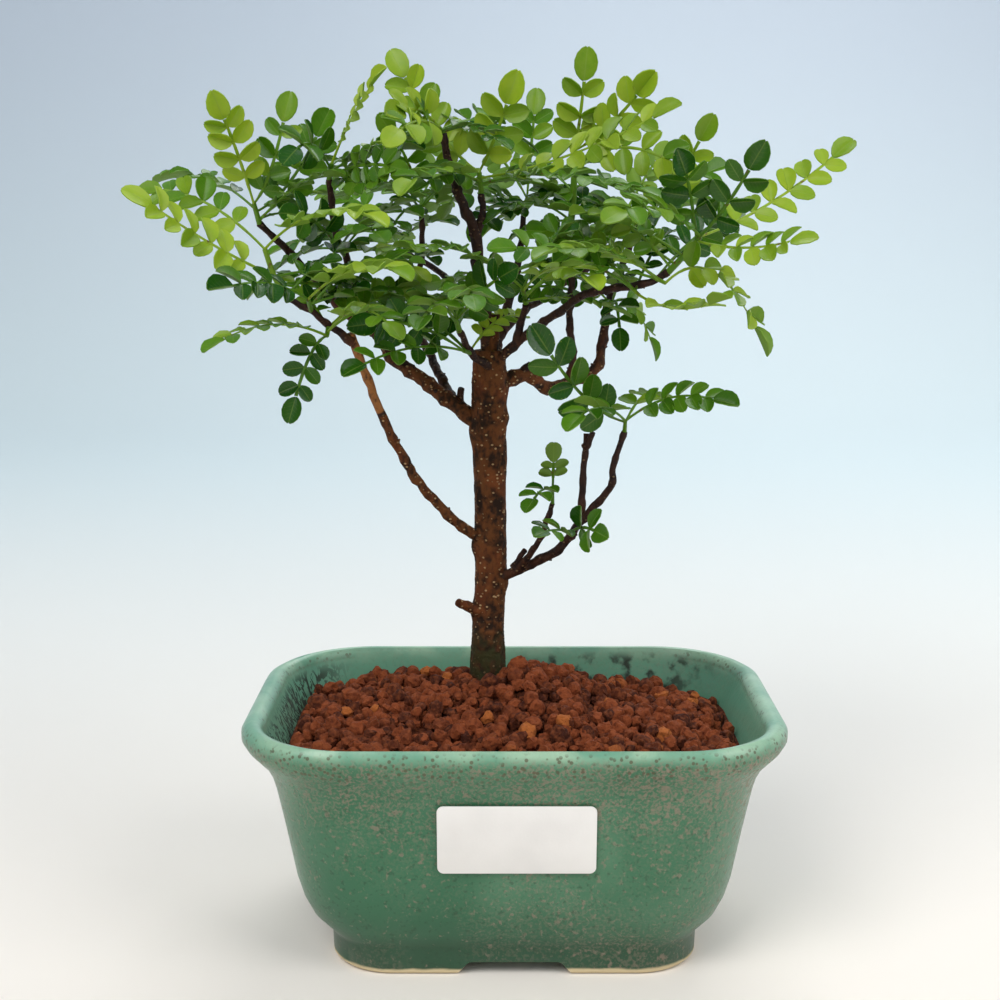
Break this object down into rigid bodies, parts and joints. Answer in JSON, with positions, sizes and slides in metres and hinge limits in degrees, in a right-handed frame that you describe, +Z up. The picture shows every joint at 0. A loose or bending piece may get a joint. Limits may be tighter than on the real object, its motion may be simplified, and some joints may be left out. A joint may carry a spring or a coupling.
{
  "type": "chinese pepper bonsai",
  "caption": "Small tree with a straight trunk, bare low branches and an open crown of pinnate leaves, in a glazed rounded-rectangular pot.",
  "frame": {"origin": "middle of the bottom of the whole plant's box, on the surface the pot stands on", "axes": "+Z up, +X along the pot's long side, +Y away from the labelled front"},
  "size_m": [0.1794, 0.154, 0.2289],
  "materials": {
    "glazed_pot": "satin speckled green glaze",
    "soil_granules": "rough baked clay granules",
    "bark": "matte brown bark",
    "label_card": "plain white, left bare",
    "leaf": "glossy leaf"
  },
  "bodies": {
    "root": {"label": "label_card", "pot": "glazed_pot", "shoot_back_far_left": "leaf", "shoot_back_left": "leaf", "shoot_back_right": "leaf", "shoot_back_top": "leaf", "shoot_far_left": "leaf", "shoot_front_spur": "leaf", "shoot_leader": "leaf", "shoot_left_inner": "leaf", "shoot_left_low": "leaf", "shoot_left_mid": "leaf", "shoot_left_top": "leaf", "shoot_left_under": "leaf", "shoot_low_elbow": "leaf", "shoot_low_front": "leaf", "shoot_low_inner": "leaf", "shoot_low_right": "leaf", "shoot_right_droop": "leaf", "shoot_right_mid": "leaf", "shoot_right_small": "leaf", "shoot_right_tip": "leaf", "shoot_right_top": "leaf", "shoot_spur": "leaf", "shoot_top": "leaf", "shoot_top_left": "leaf", "soil": "soil_granules", "trunk_and_branches": "bark"}
  },
  "joints": []
}
